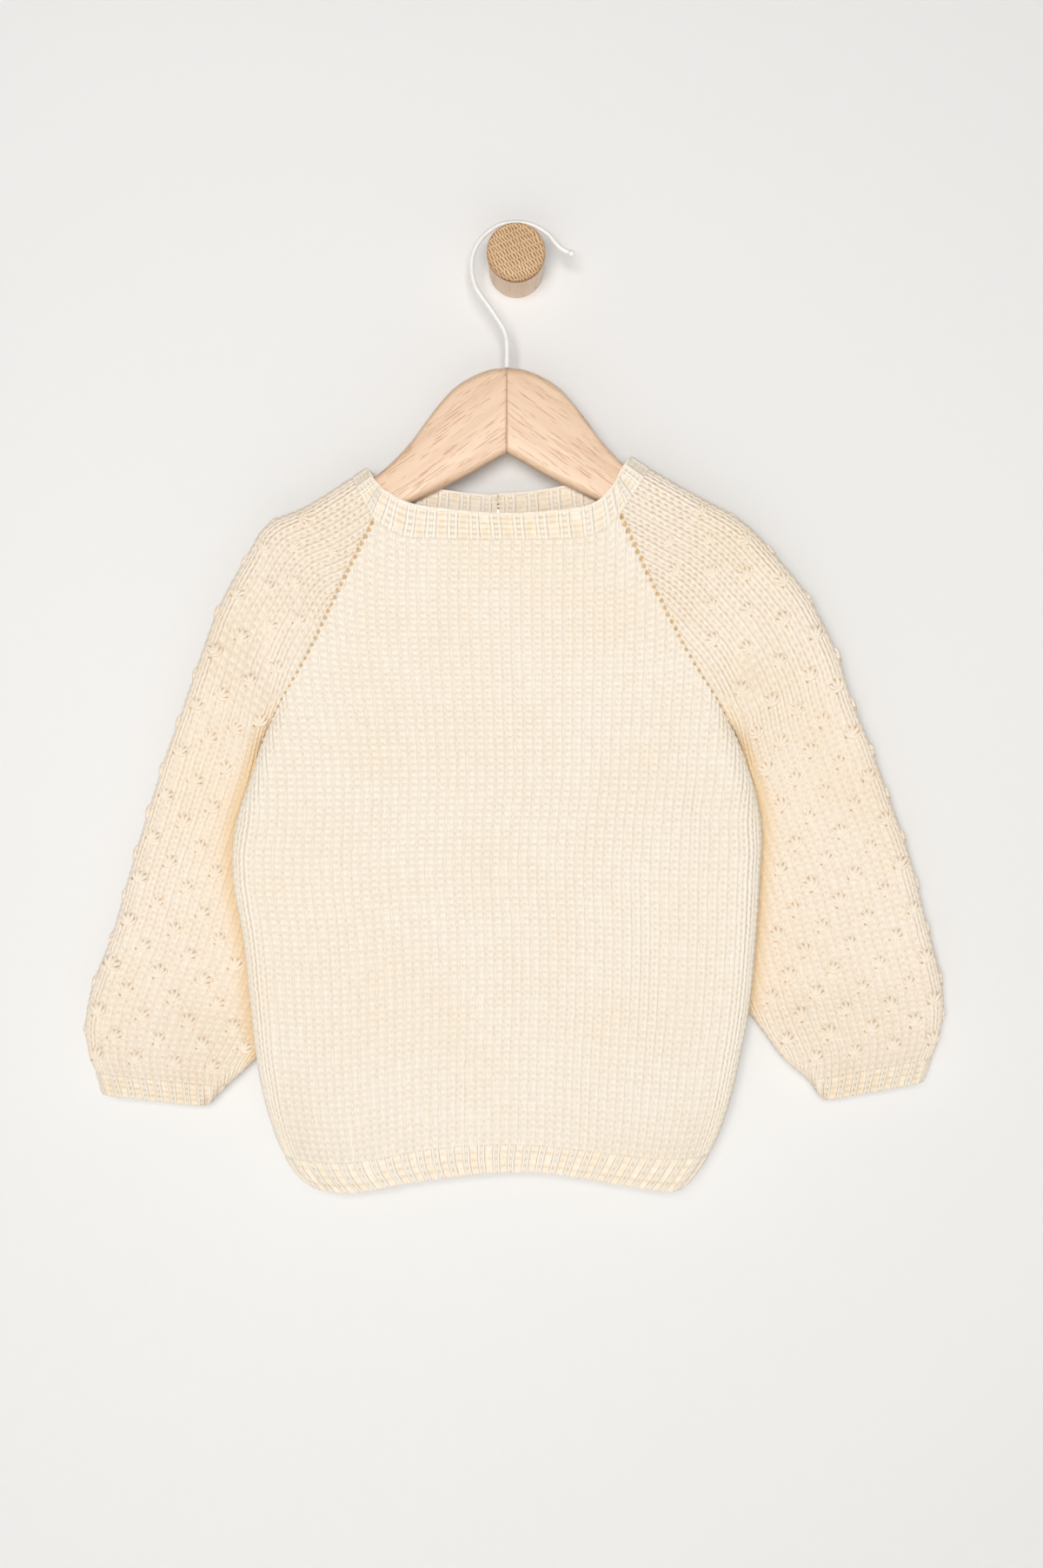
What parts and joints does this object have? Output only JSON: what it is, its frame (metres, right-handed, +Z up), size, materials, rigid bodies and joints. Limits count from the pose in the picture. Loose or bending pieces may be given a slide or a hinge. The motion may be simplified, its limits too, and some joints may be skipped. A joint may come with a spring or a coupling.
{
  "type": "child's knitted raglan sweater on a wooden hanger and wall peg",
  "caption": "Cream hand-knit child's raglan sweater with ribbed neckband, cuffs and hem, hung flat on a shaped wooden hanger whose wire hook sits over a round wall peg.",
  "frame": {"origin": "centre of the wall peg's round back face, on the wall", "axes": "+Y into the wall, +Z up, +X to the right of somebody who faces the wall; the sweater's front faces -Y"},
  "size_m": [0.463, 0.05, 0.5194],
  "materials": {
    "body_knit": "matt wool stocking stitch",
    "sleeve_knit": "matt wool stocking stitch with small bobbles",
    "rib_knit": "matt wool single rib",
    "button": "satin",
    "hanger_wood": "pale wood, clear satin coat",
    "painted_wire": "white, satin",
    "peg_wood": "pale oak, oiled",
    "peg_end_grain": "oak end grain, oiled"
  },
  "bodies": {
    "root": {"front": "body_knit", "back": "body_knit", "left_sleeve": "sleeve_knit", "right_sleeve": "sleeve_knit", "neckband": "rib_knit", "hem_rib_front": "rib_knit", "hem_rib_back": "rib_knit", "left_cuff": "rib_knit", "right_cuff": "rib_knit", "neck_button": "button", "button_loop": "rib_knit", "hanger_arm_left": "hanger_wood", "hanger_arm_right": "hanger_wood", "hook": "painted_wire", "peg_body": "peg_wood", "peg_cap": "peg_end_grain"}
  },
  "joints": []
}
